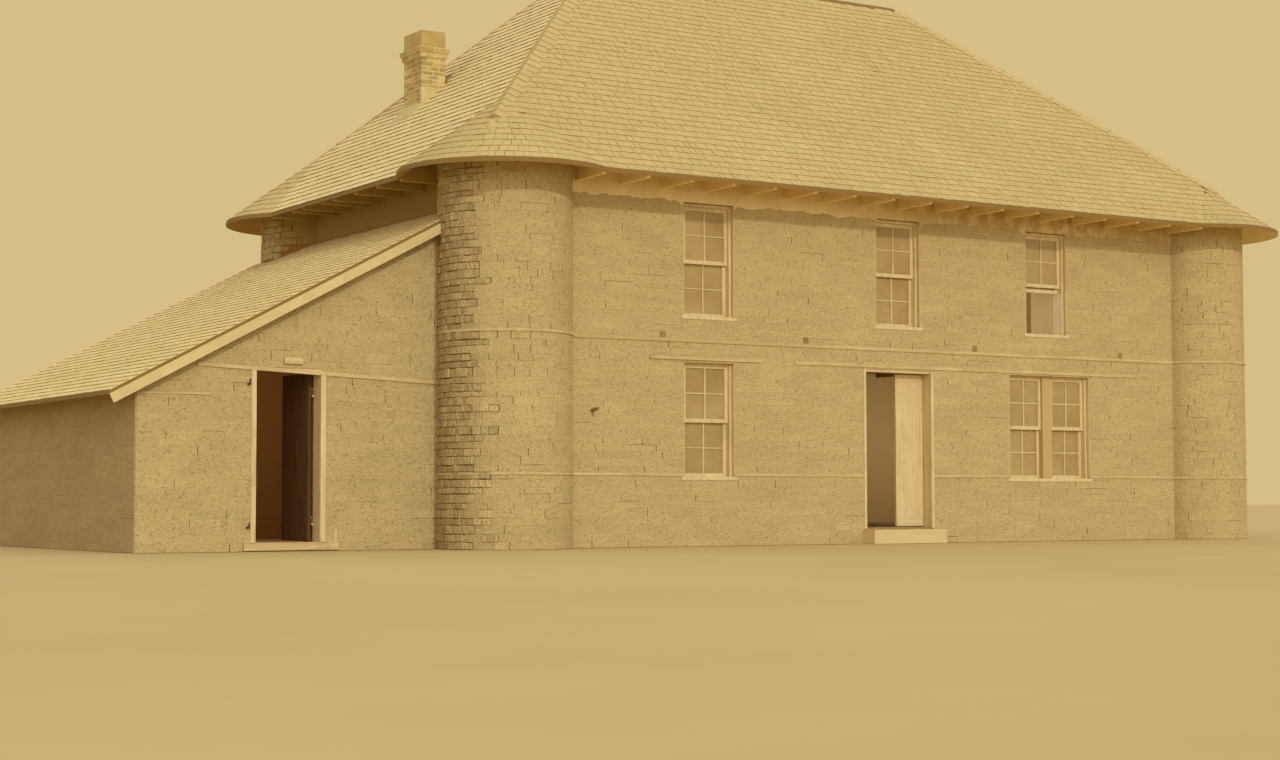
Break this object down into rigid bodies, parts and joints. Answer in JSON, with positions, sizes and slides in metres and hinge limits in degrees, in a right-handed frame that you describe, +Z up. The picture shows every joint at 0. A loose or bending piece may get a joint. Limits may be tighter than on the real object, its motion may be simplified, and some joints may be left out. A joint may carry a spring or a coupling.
{
  "type": "turf house",
  "caption": "Two-storey turf house with round corner drums, hipped shingle roof, brick chimney and a shed-roofed lean-to.",
  "frame": {"origin": "centre of the whole house's box, on the ground it stands on", "axes": "+Z up, the front wall with the doors and windows faces -Y, the lean-to is at -X"},
  "size_m": [18.3949, 8.4898, 8.3994],
  "materials": {
    "turf": "matte",
    "shingles": "matte",
    "bare_timber": "matte",
    "white_timber": "satin",
    "weathered_boards": "matte",
    "brick": "matte",
    "window_glass": "polished"
  },
  "bodies": {
    "house": {"back_glass": "window_glass", "back_lower_window_1": "white_timber", "back_lower_window_2": "white_timber", "back_rafters": "bare_timber", "back_upper_window_1": "white_timber", "back_upper_window_2": "white_timber", "back_wall": "turf", "chimney": "brick", "doorstep": "bare_timber", "drum_back_left": "turf", "drum_back_right": "turf", "drum_front_left": "turf", "drum_front_right": "turf", "front_door_frame": "white_timber", "front_rafters": "bare_timber", "front_wall_left": "turf", "front_wall_over_door": "turf", "front_wall_right": "turf", "ground_floor": "bare_timber", "lean_to_back_wall": "turf", "lean_to_door_frame": "white_timber", "lean_to_end_wall": "turf", "lean_to_floor": "bare_timber", "lean_to_front_left": "turf", "lean_to_front_over_door": "turf", "lean_to_front_right": "turf", "lean_to_roof": "shingles", "left_rafters": "bare_timber", "left_wall": "turf", "lintel_board": "weathered_boards", "lower_window_1_frame": "white_timber", "lower_window_1_glass": "window_glass", "lower_window_1_sashes": "white_timber", "lower_window_2_frame": "white_timber", "lower_window_2_glass": "window_glass", "lower_window_2_sashes": "white_timber", "main_roof": "shingles", "rake_board_back": "bare_timber", "rake_board_front": "bare_timber", "ridge_board": "bare_timber", "right_rafters": "bare_timber", "right_wall": "turf", "upper_floor": "bare_timber", "upper_string_board": "weathered_boards", "upper_window_1_frame": "white_timber", "upper_window_1_glass": "window_glass", "upper_window_1_sashes": "white_timber", "upper_window_2_frame": "white_timber", "upper_window_2_glass": "window_glass", "upper_window_2_sashes": "white_timber", "upper_window_3_frame": "white_timber", "upper_window_3_glass": "window_glass", "upper_window_3_sashes": "white_timber"},
    "wide_leaf": {"front_door_wide_leaf": "white_timber"},
    "narrow_leaf": {"front_door_narrow_leaf": "white_timber"},
    "lean_to_leaf": {"lean_to_door": "white_timber"}
  },
  "joints": [
    {"name": "wide_leaf_hinge", "type": "hinge", "parent": "house", "child": "wide_leaf", "pos_m": [1.2265, -3.036, 1.2], "axis": [0, 0, 1], "range_deg": [-90, 0]},
    {"name": "narrow_leaf_hinge", "type": "hinge", "parent": "house", "child": "narrow_leaf", "pos_m": [2.3485, -3.036, 1.2], "axis": [0, 0, 1], "range_deg": [-90, 0]},
    {"name": "lean_to_door_hinge", "type": "hinge", "parent": "house", "child": "lean_to_leaf", "pos_m": [-6.5415, -2.336, 1.1], "axis": [0, 0, 1], "range_deg": [0, 90]}
  ]
}
